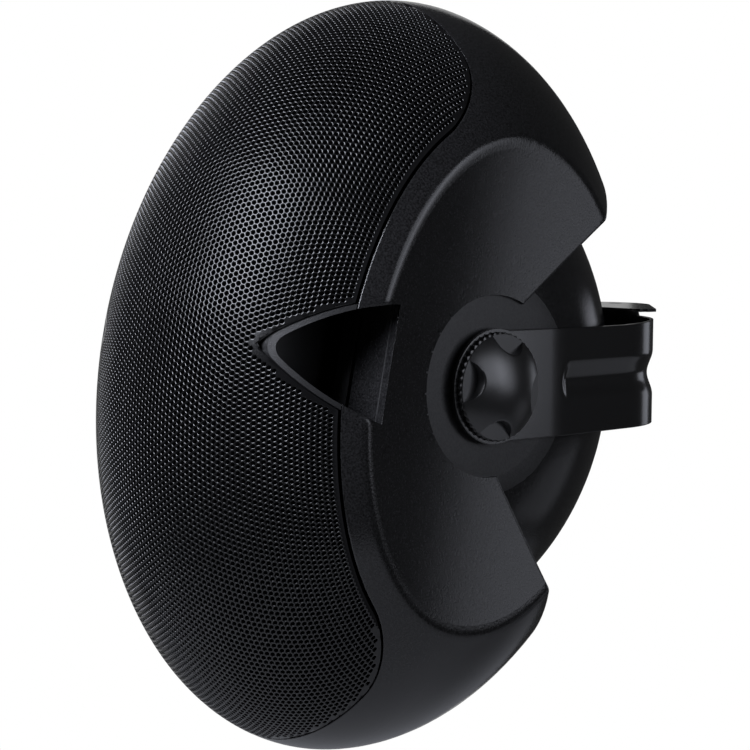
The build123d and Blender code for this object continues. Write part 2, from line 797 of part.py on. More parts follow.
cabinet_pieces = {
    "rear_cabinet": rear_cabinet.part,
    "front_grille": front_grille.part,
    "grille_lining": grille_lining.part,
    "front_baffle": front_baffle.part,
    "baffle_seal": baffle_seal.part,
    "baffle_screws": baffle_screws.part,
    "tweeter_waveguide": tweeter_waveguide.part,
    "tweeter_magnet": tweeter_magnet.part,
    "tweeter_dome": tweeter_dome.part,
    "crossover_board": crossover_board.part,
    "crossover_coil": crossover_coil.part,
    "crossover_capacitors": crossover_capacitors.part,
    "terminal_cup": terminal_cup.part,
    "terminal_block": terminal_block.part,
    "terminal_screws": terminal_screws.part,
}
woofer_pieces = {
    "woofer_frame": woofer_frame.part,
    "woofer_magnet": woofer_magnet.part,
    "woofer_surround": woofer_surround.part,
    "woofer_cone": woofer_cone.part,
}
for name, piece in woofer_pieces.items():
    cabinet_pieces[name + "_upper"] = piece.moved(Location((0, 0, woofer_z)))
    cabinet_pieces[name + "_lower"] = piece.moved(Location((0, 0, -woofer_z)))
clamp_pieces = {
    "thread_insert": thread_insert.part,
    "friction_washer": friction_washer.part,
    "clamp_stud": clamp_stud.part,
    "clamp_knob": clamp_knob.part,
}
for name, piece in clamp_pieces.items():
    cabinet_pieces[name + "_right"] = piece
    cabinet_pieces[name + "_left"] = piece.mirror(Plane.YZ)

hub_place = Location((0, -lug_hole_y, -lug_level))
tilt_place = hub_place * Location((0, 0, 0), (-rest_tilt, 0, 0))
os.makedirs("parts", exist_ok=True)
for name, piece in cabinet_pieces.items():
    placed = piece.moved(tilt_place)
    placed.label = name
    export_step(placed, "parts/" + name + ".step")
u_bracket.part = u_bracket.part.moved(hub_place)
u_bracket.part.label = "u_bracket"
export_step(u_bracket.part, "parts/u_bracket.step")
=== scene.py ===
import bpy
import json
import math
from mathutils import Matrix, Vector


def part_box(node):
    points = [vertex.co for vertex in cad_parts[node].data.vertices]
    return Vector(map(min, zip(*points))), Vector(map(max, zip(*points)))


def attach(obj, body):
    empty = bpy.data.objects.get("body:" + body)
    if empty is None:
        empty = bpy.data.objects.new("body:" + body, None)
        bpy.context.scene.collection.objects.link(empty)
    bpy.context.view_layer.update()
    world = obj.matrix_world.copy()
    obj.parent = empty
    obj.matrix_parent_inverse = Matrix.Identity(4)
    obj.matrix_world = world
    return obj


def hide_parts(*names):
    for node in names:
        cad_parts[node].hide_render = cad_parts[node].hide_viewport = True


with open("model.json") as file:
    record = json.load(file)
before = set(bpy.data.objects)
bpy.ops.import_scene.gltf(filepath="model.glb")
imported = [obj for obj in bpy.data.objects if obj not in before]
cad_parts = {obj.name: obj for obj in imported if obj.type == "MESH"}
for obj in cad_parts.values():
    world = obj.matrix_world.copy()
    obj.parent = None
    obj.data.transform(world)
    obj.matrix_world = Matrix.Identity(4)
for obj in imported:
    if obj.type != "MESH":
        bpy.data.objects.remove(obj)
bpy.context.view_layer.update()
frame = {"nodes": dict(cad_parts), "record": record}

# Perforated front skin, in metres, about the tilt axis with the cabinet level
egg_half_width = 0.118
egg_front = 0.114
egg_rear = 0.126
egg_half_height = 0.170
skin_half_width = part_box("front_grille")[1].x
skin_rear_edge = -0.0244
skin_corner = 0.0191
port_circle_y = -0.0541
port_circle_z = 0.0276
port_circle_radius = 0.0547
port_nose_blend = 0.004
hole_pitch = 0.0026
hole_share = 0.77
sheet = 0.0006
turned_edge = 0.0055
plain_border = 0.0016
blank_half_width = 0.098
blank_half_height = 0.204
outline_play = 0.0003
# Shares of the pitch: from one column of holes to the next, and a cell's reach past the outline
column_share = math.sqrt(0.75)
cell_overhang = 0.45

# Clamp knob, in metres
knob_radius = 0.0222
knob_skirt = 0.0022
knob_dome = 0.0072
knob_teeth = 46
tooth_depth = 0.0009
pocket_radius = 0.009
pocket_ring = 0.023
pocket_count = 4
pocket_turn = math.radians(-10.0)
knob_edge = 0.0004
edge_setback = 0.3
knob_rings = 24
knob_spokes = 368

# U-bracket, in metres about the tilt axis
strap_sheet = 0.0015
strap_half = 0.0233
strap_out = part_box("u_bracket")[1].x
pad_radius = 0.0245
strap_hole = 0.0045
arm_straight = 0.0375
arm_lean = math.radians(5.0)
arm_bend = 0.120
corner_bend = 0.052
back_reach = 0.135
back_top = 0.0249
bead_start = 0.039
bead_ramp = 0.0065
bead_half = 0.0105
bead_depth = 0.0026
lug_level = 0.0278
lug_half = 0.0538
lug_wall_half = 0.052
lug_nose_radius = 0.028
lug_nose_reach = 0.050
lug_hole_reach = 0.038
lug_hole_radius = 0.0032
lug_relief = 0.002
lug_edge = 0.0003
# How finely the bracket is drawn, with the degrees round a pad's tip
strap_step = 0.0012
strap_rows = 48
tip_turns = (3, 6, 10, 14, 19, 24, 30)
hole_sides = 48
nose_sides = 24
sharp_bend = math.radians(38.0)

# Cabinet's side faces and hub faces, in metres about the tilt axis with the cabinet level
ridge_x = 0.0926
ridge_z = 0.1054
side_dish = 0.0060
ridge_blend = 0.0003
ridge_band = 0.008
ridge_round = 0.003
hub_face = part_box("friction_washer_right")[0].x
hub_play = 0.0004
barrel_radius = 0.068
front_share = egg_front / egg_half_height
rear_share = egg_rear / egg_half_height
side_squareness = 0.985
hub_roughness = 0.20
# Painted light: the hub faces are paled to stand in for their lighter shading beside the dished
# side faces; their extra roughness is their own texture
hub_painted_lightness = 0.6

# Drift and grain of every finish
drift_scale = 22.0
drift_detail = 3.0
fine_detail = 2.0
drift_tone = 0.6
edge_samples = 6
ridge_samples = 8

# Where the photograph was taken from, in metres about the tilt axis, with the lens in millimetres
view_azimuth = math.radians(49.2)
view_elevation = math.radians(4.54)
view_roll = math.radians(0.42)
view_distance = 0.900
view_right = 0.00864
view_up = -0.00098
view_lens = 95.12
view_sensor = 36.0

# Studio, in metres
centre_ahead = 0.01
floor_level = -0.55
floor_radius = 0.88
floor_sides = 96
floor_grey = 0.42
floor_roughness = 0.8
floor_spread = 0.1
floor_drift = 3.0
floor_paleness = 0.75
backdrop_behind = 1.7
backdrop_left = -1.0
backdrop_right = 0.35
backdrop_half_height = 0.9
backdrop_reflected = 0.5
backdrop_cast = 0.03
ambient = 0.030
white = (1.0, 1.0, 1.0, 1.0)
lamp_tint = (0.86, 0.89, 1.0)

joints = {joint["name"]: joint for joint in frame["record"]["behaviour"]["joints"]}
hub = Vector(joints["cabinet_tilt"]["pos_m"])
woofer_axis = Vector(joints["woofer_upper_travel"]["axis"])
rest_tilt = math.atan2(woofer_axis.z, -woofer_axis.y)


# Node trees written as plain arithmetic

def put(tree, socket, value):
    """Links a value to a socket, or sets the socket where the value is a constant."""
    if isinstance(value, Value):
        tree.links.new(value.socket, socket)
    else:
        socket.default_value = value


class Value:
    """A node socket that takes part in arithmetic, in material and geometry trees alike."""

    def __init__(self, tree, socket):
        self.tree = tree
        self.socket = socket

    def math(self, operation, *others):
        node = self.tree.nodes.new("ShaderNodeMath")
        node.operation = operation
        for socket, value in zip(node.inputs, (self, *others)):
            put(self.tree, socket, value)
        return Value(self.tree, node.outputs[0])

    def __add__(self, other):
        return self.math("ADD", other)

    def __sub__(self, other):
        return self.math("SUBTRACT", other)

    def __rsub__(self, other):
        return -self + other

    def __mul__(self, other):
        return self.math("MULTIPLY", other)

    def __truediv__(self, other):
        return self.math("DIVIDE", other)

    def __rtruediv__(self, other):
        return self.math("POWER", -1.0) * other

    def __neg__(self):
        return self * -1.0

    def __lt__(self, other):
        return self.math("LESS_THAN", other)

    def __gt__(self, other):
        return self.math("GREATER_THAN", other)

    def sin(self):
        return self.math("SINE")

    def cos(self):
        return self.math("COSINE")

    def acos(self):
        return self.math("ARCCOSINE")

    def size(self):
        return self.math("ABSOLUTE")

    def sign(self):
        return self.math("SIGN")

    def root(self):
        return self.most(0.0).math("SQRT")

    def most(self, other):
        return self.math("MAXIMUM", other)

    def least(self, other):
        return self.math("MINIMUM", other)

    def pick(self, yes, no):
        """yes where this value is 1, no where it is 0."""
        return self * yes + (1.0 - self) * no


def length(*parts):
    """The length of a vector, from its parts."""
    squares = [part * part for part in parts]
    return sum(squares[1:], squares[0]).root()


class Tree:
    """Makes the nodes of one tree: type, settings, then values by socket name."""

    def __init__(self, tree):
        self.tree = tree

    def node(self, kind, settings=None, **sockets):
        node = self.tree.nodes.new(kind)
        for name, value in (settings or {}).items():
            setattr(node, name, value)
        for name, value in sockets.items():
            put(self.tree, node.inputs[name.replace("_", " ")], value)
        return node

    def value(self, kind, settings=None, output=0, **sockets):
        return Value(self.tree, self.node(kind, settings, **sockets).outputs[output])

    def vector(self, x, y, z):
        return self.value("ShaderNodeCombineXYZ", X=x, Y=y, Z=z)

    def parts(self, vector):
        node = self.node("ShaderNodeSeparateXYZ", Vector=vector)
        return [Value(self.tree, socket) for socket in node.outputs]

    def pick(self, choice, yes, no):
        """The vector yes where the choice is 1, no where it is 0."""
        pairs = zip(self.parts(yes), self.parts(no))
        return self.vector(*[choice.pick(*pair) for pair in pairs])


# Objects and meshes

def placed(name, data):
    """A new object in the scene."""
    thing = bpy.data.objects.new(name, data)
    bpy.context.scene.collection.objects.link(thing)
    return thing


def baked(thing):
    """A plain mesh of an object as its modifiers leave it, or of a curve as it is drawn."""
    graph = bpy.context.evaluated_depsgraph_get()
    return bpy.data.meshes.new_from_object(thing.evaluated_get(graph), depsgraph=graph)


def mesh_piece(name, mesh):
    """A piece with smooth faces that meet sharply at its edges."""
    mesh.shade_smooth()
    mesh.set_sharp_from_angle(angle=sharp_bend)
    return placed(name, mesh)


# The perforated front skin

def past_rear_corner(x, y):
    """How far past the middle of the outline's rear corner a point lies, sideways and rearwards."""
    return x.size() - (skin_half_width - skin_corner), y - (skin_rear_edge - skin_corner)


def outside_distance(x, y, z):
    """How far a point of the egg lies outside the grille's outline, below zero inside."""
    past_side, past_rear = past_rear_corner(x, y)
    corner = length(past_side.most(0.0), past_rear.most(0.0))
    outline = corner + past_side.most(past_rear).least(0.0) - skin_corner
    along = y - port_circle_y
    upper = length(along, z + port_circle_z) - port_circle_radius
    lower = length(along, z - port_circle_z) - port_circle_radius
    return outline.most(-upper.math("SMOOTH_MAX", lower, port_nose_blend))


def pressed(column, row):
    """The point of the egg that a point of the flat sheet is pressed to."""
    mean = (egg_half_height + egg_front) / 2
    lean = (egg_half_height - egg_front) / (4 * mean)
    side_limit = math.asin(skin_half_width / egg_half_width)
    across = column / ((egg_half_width + egg_front) / 2)
    across = across.most(-side_limit).least(side_limit)
    arc = row / mean
    up = arc - (arc * 2.0).sin() * lean + (arc * 4.0).sin() * lean ** 2
    rear_limit = (-skin_rear_edge / egg_front / across.cos()).acos()
    up = up.most(-rear_limit).least(rear_limit)
    return (across.sin() * egg_half_width, across.cos() * up.cos() * -egg_front,
            across.cos() * up.sin() * egg_half_height)


def drawn_to_outline(x, y, z):
    """Moves a point that falls past a rear corner or into a port on to the grille's outline."""
    past_side, past_rear = past_rear_corner(x, y)
    reach = length(past_side, past_rear)
    past_corner = (past_side > 0.0) * (past_rear > 0.0) * (reach > skin_corner)
    draw = past_corner.pick(skin_corner / reach, 1.0)
    x = x.sign() * (past_side * draw + (skin_half_width - skin_corner))
    y = past_rear * draw + (skin_rear_edge - skin_corner)
    across, ahead = x / egg_half_width, y / egg_front
    left_over = 1.0 - across * across - ahead * ahead
    z = past_corner.pick(z.sign() * left_over.root() * egg_half_height, z)
    along = y - port_circle_y
    rise = z.size() + port_circle_z
    reach = length(along, rise)
    in_port = reach < port_circle_radius
    push = in_port.pick(port_circle_radius / reach, 1.0)
    y = along * push + port_circle_y
    z = z.sign() * (rise * push - port_circle_z)
    ahead, up = y / egg_front, z / egg_half_height
    left_over = 1.0 - ahead * ahead - up * up
    x = in_port.pick(x.sign() * left_over.root() * egg_half_width, x)
    return x, y, z


def egg_normal(x, y, z):
    slopes = x / egg_half_width ** 2, y / egg_front ** 2, z / egg_half_height ** 2
    steepness = length(*slopes)
    return [slope / steepness for slope in slopes]


def skin_tree():
    """Presses a flat sheet of six-sided holes on to the front of the egg."""
    group = bpy.data.node_groups.new("perforated_skin", "GeometryNodeTree")
    group.is_modifier = True
    for kind, names in (("NodeSocketFloat", ("Pitch", "Hole share", "Sheet", "Border",
                                             "Turned edge", "Side")),
                        ("NodeSocketInt", ("Columns", "Rows")),
                        ("NodeSocketMaterial", ("Material",))):
        for name in names:
            group.interface.new_socket(name, in_out="INPUT", socket_type=kind)
    group.interface.new_socket("Skin", in_out="OUTPUT", socket_type="NodeSocketGeometry")
    tree = Tree(group)
    inputs = tree.node("NodeGroupInput").outputs
    given = {socket.name: Value(group, socket) for socket in inputs if socket.name}
    pitch = given["Pitch"]
    step = pitch * column_share

    def position():
        return tree.parts(tree.value("GeometryNodeInputPosition"))

    # A flat sheet of six-sided cells
    flat = tree.value("GeometryNodeMeshGrid", Size_X=(given["Columns"] - 1.0) * step,
                      Size_Y=(given["Rows"] - 1.0) * pitch,
                      Vertices_X=given["Columns"], Vertices_Y=given["Rows"])
    column, row, depth = position()
    number = (column / step + given["Columns"] / 2.0).math("FLOOR")
    shift = tree.vector(0.0, number.math("FLOORED_MODULO", 2.0) * pitch / 2.0, 0.0)
    flat = tree.value("GeometryNodeSetPosition", Geometry=flat, Offset=shift)
    flat = tree.value("GeometryNodeTriangulate", {"quad_method": "SHORTEST_DIAGONAL"}, Mesh=flat)
    flat = tree.value("GeometryNodeDualMesh", Mesh=flat)

    # Only this side's cells inside the outline stay, and those within the plain border get holes
    column, row, depth = position()
    outside = outside_distance(*pressed(column, row))
    other_side = (column + pitch / 4.0) * given["Side"] < 0.0
    flat = tree.value("GeometryNodeDeleteGeometry", {"domain": "FACE"}, Geometry=flat,
                      Selection=other_side.most(outside > pitch * cell_overhang))
    column, row, depth = position()
    holed = outside_distance(*pressed(column, row)) < -given["Border"]
    rim = tree.node("GeometryNodeExtrudeMesh", {"mode": "FACES"}, Mesh=flat, Selection=holed,
                    Offset_Scale=0.0, Individual=True)
    hole = Value(group, rim.outputs["Top"])
    flat = tree.value("GeometryNodeScaleElements", {"domain": "FACE"}, Selection=hole,
                      Geometry=Value(group, rim.outputs["Mesh"]), Scale=given["Hole share"])
    down = tree.vector(0.0, 0.0, -given["Sheet"])
    punched = tree.node("GeometryNodeExtrudeMesh", {"mode": "FACES"}, Mesh=flat, Selection=hole,
                        Offset=down, Offset_Scale=1.0, Individual=True)
    flat = tree.value("GeometryNodeDeleteGeometry", {"domain": "FACE"},
                      Geometry=Value(group, punched.outputs["Mesh"]),
                      Selection=Value(group, punched.outputs["Top"]))

    # The sheet is pressed to the egg and its outer edge turned in
    column, row, depth = position()
    x, y, z = drawn_to_outline(*pressed(column, row))
    normal = egg_normal(x, y, z)
    shaped = tree.vector(*[place + part * depth for place, part in zip((x, y, z), normal)])
    skin = tree.value("GeometryNodeSetPosition", Geometry=flat, Position=shaped)
    x, y, z = position()
    open_edge = tree.value("GeometryNodeInputMeshEdgeNeighbors") < 1.5
    edge = open_edge * (outside_distance(x, y, z) > -outline_play)
    inward = tree.vector(*[part * -given["Turned edge"] for part in egg_normal(x, y, z)])
    skin = tree.value("GeometryNodeExtrudeMesh", {"mode": "EDGES"}, Mesh=skin, Selection=edge,
                      Offset=inward, Offset_Scale=1.0)
    skin = tree.value("GeometryNodeTransform", Geometry=skin, Translation=tuple(hub),
                      Rotation=(-rest_tilt, 0.0, 0.0))
    skin = tree.value("GeometryNodeSetShadeSmooth", Geometry=skin)
    skin = tree.value("GeometryNodeSetMaterial", Geometry=skin, Material=given["Material"])
    tree.node("NodeGroupOutput", Skin=skin)
    return group


def skin_piece(name, group, **values):
    """Runs the skin tree once and keeps the result as a plain mesh."""
    piece = placed(name, bpy.data.meshes.new(name))
    modifier = piece.modifiers.new("skin", "NODES")
    modifier.node_group = group
    for item in group.interface.items_tree:
        if item.in_out == "INPUT":
            modifier[item.identifier] = values[item.name.lower().replace(" ", "_")]
    mesh = baked(piece)
    piece.modifiers.clear()
    piece.data = mesh
    return piece


# Clamp knobs

def knob_outline(angle):
    """How far the dome reaches from the knob's axis: to the rim, or to a finger pocket."""
    share = 2 * math.pi / pocket_count
    turn = (angle - pocket_turn + share / 2) % share - share / 2
    across = pocket_ring * math.sin(turn)
    if abs(across) >= pocket_radius:
        return knob_radius
    to_pocket = pocket_ring * math.cos(turn) - math.sqrt(pocket_radius ** 2 - across ** 2)
    return min(knob_radius, to_pocket)


def knob_dome_height(reach):
    ball = (knob_radius ** 2 + knob_dome ** 2) / (2 * knob_dome)
    return math.sqrt(ball ** 2 - reach ** 2) - (ball - knob_dome)


def knob_rings_at(angle, tooth):
    """Points from the knob's crown to its foot on one spoke: distance from the axis, height."""
    edge = knob_outline(angle)
    wall = knob_dome_height(edge)
    soft = min(knob_edge, wall / 2)
    crown = [(edge - soft) * step / knob_rings for step in range(1, knob_rings + 1)]
    rings = [(reach, knob_dome_height(reach)) for reach in crown]
    rings.append((edge - soft * edge_setback, wall - soft * edge_setback))
    rings.append((edge, wall - soft))
    rings.append((edge, 0.0))
    rings.append((knob_radius, 0.0))
    rings.append((knob_radius - knob_edge, -knob_edge))
    rings.append((knob_radius + tooth, -2 * knob_edge))
    rings.append((knob_radius + tooth, -knob_skirt))
    return rings


def knob_piece(name, side):
    """A knob lofted through its spokes, with its foot where the CAD knob has it."""
    low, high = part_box("clamp_knob_" + name)
    foot = low.x if side > 0 else high.x
    points = [(foot + side * (knob_skirt + knob_dome), hub.y, hub.z), (foot, hub.y, hub.z)]
    for spoke in range(knob_spokes):
        angle = 2 * math.pi * spoke / knob_spokes
        tooth = tooth_depth * (1 - abs(spoke * 2 * knob_teeth / knob_spokes % 2 - 1))
        rings = knob_rings_at(angle, tooth)
        points += [(foot + side * (knob_skirt + height), hub.y + reach * math.cos(angle),
                    hub.z + reach * math.sin(angle)) for reach, height in rings]
    count = len(rings)
    faces = []
    for spoke in range(knob_spokes):
        here = 2 + spoke * count
        there = 2 + (spoke + 1) % knob_spokes * count
        faces.append((0, here, there))
        faces += [(here + ring, here + ring + 1, there + ring + 1, there + ring)
                  for ring in range(count - 1)]
        faces.append((here + count - 1, 1, there + count - 1))
    if side < 0:
        faces = [face[::-1] for face in faces]
    mesh = bpy.data.meshes.new("knob_" + name)
    mesh.from_pydata(points, [], faces)
    return mesh_piece("knob_" + name, mesh)


# U-bracket

def strap_line():
    """Points along the strap's outer face from one pad's tip to the other.

    Each is x, y, the way the face looks and the run along the strap from the hub."""
    half_lean = math.tan(arm_lean / 2) * arm_bend
    corner_turn = math.pi / 2 - arm_lean
    half_corner = math.tan(corner_turn / 2) * corner_bend
    leaning = back_reach - arm_straight
    corner_x = strap_out - leaning * math.tan(arm_lean)
    runs = [(pad_radius + arm_straight - half_lean, 0.0),
            (arm_bend * arm_lean, arm_lean),
            (leaning / math.cos(arm_lean) - half_lean - half_corner, 0.0),
            (corner_bend * corner_turn, corner_turn),
            (corner_x - half_corner, 0.0)]
    x, y, facing, run = strap_out, -pad_radius, 0.0, -pad_radius
    line = []
    for reach, turn in runs:
        steps = math.ceil(reach / strap_step)
        for step in range(steps):
            line.append((x, y, facing, run))
            mid = facing + turn / steps / 2
            x -= math.sin(mid) * reach / steps
            y += math.cos(mid) * reach / steps
            facing += turn / steps
            run += reach / steps
    fronts = [-pad_radius * math.cos(math.radians(turn)) for turn in tip_turns]
    tip = [(strap_out, front, 0.0, front) for front in fronts]
    line = tip + [place for place in line if place[3] > fronts[-1] + strap_step / 2]
    other = [(-x, y, math.pi - facing, run) for x, y, facing, run in reversed(line)]
    return line + [(0.0, back_reach, math.pi / 2, run)] + other


def strap_edges(x, y):
    """Lower and upper edge of the strap at a place along it."""
    if y < math.sqrt(pad_radius ** 2 - strap_half ** 2):
        half = math.sqrt(pad_radius ** 2 - y ** 2)
        return -half, half
    if abs(x) < lug_wall_half and y > arm_straight:
        return -strap_half, lug_level - strap_sheet / 2
    flare = max(0.0, (y - back_reach + corner_bend) / corner_bend)
    return -strap_half, strap_half + (back_top - strap_half) * flare


def bead_at(run, height):
    """Depth of the pressed bead, with a scooped end on each arm."""
    end = max(0.0, (bead_start + bead_ramp - run) / bead_ramp)
    reach = min(1.0, math.hypot(end, height / bead_half))
    return bead_depth * (1 + math.cos(math.pi * reach)) / 2


def strap_piece():
    """The strap with its bead, lofted through sections along its line."""
    line = strap_line()
    points = []
    for x, y, facing, run in line:
        low, high = strap_edges(x, y)
        heights = [low + (high - low) * row / strap_rows for row in range(strap_rows + 1)]
        outer = [(height, bead_at(run, height)) for height in heights]
        inner = [(height, depth + strap_sheet) for height, depth in reversed(outer)]
        points += [(hub.x + x - math.cos(facing) * depth, hub.y + y - math.sin(facing) * depth,
                    hub.z + height) for height, depth in outer + inner]
    count = 2 * (strap_rows + 1)
    last = (len(line) - 1) * count
    faces = [tuple(range(count)), tuple(range(last, last + count))[::-1]]
    for here in range(0, last, count):
        for corner in range(count):
            after = (corner + 1) % count
            faces.append((here + corner, here + count + corner, here + count + after, here + after))
    mesh = bpy.data.meshes.new("strap")
    mesh.from_pydata(points, [], faces)
    return mesh_piece("bracket_strap", mesh)


def drilled(piece, radius):
    """Bores the stud's hole through both pads."""
    bpy.ops.mesh.primitive_cylinder_add(vertices=hole_sides, radius=radius, depth=4 * strap_out,
                                        location=hub, rotation=(0.0, math.pi / 2, 0.0))
    drill = bpy.context.object
    cut = piece.modifiers.new("drill", "BOOLEAN")
    cut.object = drill
    cut.operation = "DIFFERENCE"
    mesh = baked(piece)
    piece.modifiers.clear()
    piece.data = mesh
    bpy.data.objects.remove(drill)
    mesh.set_sharp_from_angle(angle=sharp_bend)


def lug_piece():
    """The lug's plate with the bolt's hole, drawn as a filled curve and turned to a mesh."""
    nose_y = back_reach + lug_nose_reach - lug_nose_radius
    side_y = nose_y + math.sqrt(2) * lug_nose_radius - lug_half
    nose_turns = [math.pi / 4 - math.pi / 2 * step / nose_sides for step in range(nose_sides + 1)]
    nose = [(lug_nose_radius * math.sin(turn), nose_y + lug_nose_radius * math.cos(turn))
            for turn in nose_turns]
    left = [(-lug_half, side_y), (-lug_half, back_reach + lug_relief),
            (-lug_wall_half, back_reach + lug_relief), (-lug_wall_half, back_reach - strap_sheet)]
    outline = nose + left + [(-x, y) for x, y in reversed(left)]
    hole_y = back_reach + lug_hole_reach
    hole_turns = [2 * math.pi * step / hole_sides for step in range(hole_sides)]
    hole = [(lug_hole_radius * math.cos(turn), hole_y + lug_hole_radius * math.sin(turn))
            for turn in hole_turns]
    curve = bpy.data.curves.new("lug", "CURVE")
    curve.dimensions = "2D"
    curve.fill_mode = "BOTH"
    curve.extrude = strap_sheet / 2 - lug_edge
    curve.bevel_depth = lug_edge
    curve.offset = -lug_edge
    for loop in (outline, hole):
        spline = curve.splines.new("POLY")
        spline.use_cyclic_u = True
        spline.points.add(len(loop) - 1)
        for point, (x, y) in zip(spline.points, loop):
            point.co = (hub.x + x, hub.y + y, 0.0, 1.0)
    drawing = placed("lug", curve)
    mesh = baked(drawing)
    mesh.transform(Matrix.Translation((0.0, 0.0, hub.z + lug_level - strap_sheet / 2)))
    bpy.data.objects.remove(drawing)
    return mesh_piece("bracket_lug", mesh)


# Finishes

def finish_tree(name):
    material = bpy.data.materials.new(name + "_finish")
    material.use_nodes = True
    material.node_tree.nodes.clear()
    return material, Tree(material.node_tree)


def hub_zone(tree, place):
    """1 on the cabinet's round hub faces and the barrel's sides, 0 elsewhere."""
    x, y, z = tree.parts(place)
    reach = length(y - hub.y, z - hub.z)
    return ((x.size() - hub_face).size() < hub_play) * (reach < barrel_radius)


def respaced(tree, normal, source, goal):
    """A normal taken from one space to another."""
    spaces = {"vector_type": "NORMAL", "convert_from": source, "convert_to": goal}
    return tree.value("ShaderNodeVectorTransform", spaces, Vector=normal)


def cabinet_normal(tree, place, rounded):
    """The cabinet's normal: the dish's own on its side faces, and a rounder one on their ridges."""
    x, y, z = tree.parts(place)
    facing = respaced(tree, tree.value("ShaderNodeNewGeometry", output=1), "WORLD", "OBJECT")
    square = tree.parts(facing)[0].size() > side_squareness
    on_side = square * (x.size() > hub_face + hub_play) * (x.size() < ridge_x - ridge_blend)
    tilt_cos, tilt_sin = math.cos(rest_tilt), math.sin(rest_tilt)
    along = (y - hub.y) * tilt_cos - (z - hub.z) * tilt_sin
    rise = (y - hub.y) * tilt_sin + (z - hub.z) * tilt_cos
    share = (along > 0.0).pick(rear_share ** -2, front_share ** -2)
    fall = 2 * side_dish / ridge_z ** 2
    lean_y = along * share * -fall
    lean_z = rise * -fall
    dish = tree.vector(x.sign(), lean_y * tilt_cos + lean_z * tilt_sin,
                       lean_z * tilt_cos - lean_y * tilt_sin)
    radius = (along * along * share + rise * rise).root()
    near_ridge = ((radius - ridge_z).size() < ridge_band) * (x.size() > ridge_x - ridge_band / 2)
    rounder = tree.value("ShaderNodeBevel", {"samples": ridge_samples}, Radius=ridge_round)
    ridged = tree.pick(near_ridge * (1.0 - on_side), rounder, rounded)
    return tree.pick(on_side, respaced(tree, dish, "OBJECT", "WORLD"), ridged)


def grained(name, dark, pale, roughness, spread, grain, relief, metallic=0.0, shine=0.5,
            edge=0.0, speckle=0.0, cabinet=False):
    """A finish whose colour and roughness drift slightly, over a fine grain of a size in metres.

    The cabinet's also has rougher hub faces, with a paler tone painted on them as their lighter
    shading, and the normals of its dished sides."""
    material, tree = finish_tree(name)
    place = tree.value("ShaderNodeTexCoord", output=3)
    drift = tree.value("ShaderNodeTexNoise", {"noise_dimensions": "3D"}, Vector=place,
                       Scale=drift_scale, Detail=drift_detail)
    fine = tree.value("ShaderNodeTexNoise", {"noise_dimensions": "3D"}, Vector=place,
                      Scale=1.0 / grain, Detail=fine_detail)
    rough = (drift - 0.5) * spread + roughness
    tone = drift * drift_tone + fine * (1.0 - drift_tone) + (fine - 0.5) * speckle
    if cabinet:
        zone = hub_zone(tree, place)
        rough = rough + zone * hub_roughness
        # Painted light: the hub faces are paled to stand in for their lighter shading
        tone = tone + zone * hub_painted_lightness
    colour = tree.node("ShaderNodeMix", {"data_type": "RGBA", "clamp_factor": False})
    put(tree.tree, colour.inputs[0], tone)
    put(tree.tree, colour.inputs[6], (*dark, 1.0))
    put(tree.tree, colour.inputs[7], (*pale, 1.0))
    bump = tree.node("ShaderNodeBump", Strength=relief, Distance=grain, Height=fine)
    if edge:
        rounded = tree.value("ShaderNodeBevel", {"samples": edge_samples}, Radius=edge)
        if cabinet:
            rounded = cabinet_normal(tree, place, rounded)
        put(tree.tree, bump.inputs["Normal"], rounded)
    surface = tree.value("ShaderNodeBsdfPrincipled",
                         Base_Color=Value(tree.tree, colour.outputs[2]), Roughness=rough,
                         Normal=Value(tree.tree, bump.outputs[0]), Metallic=metallic,
                         Specular_IOR_Level=shine)
    tree.node("ShaderNodeOutputMaterial", Surface=surface)
    return material


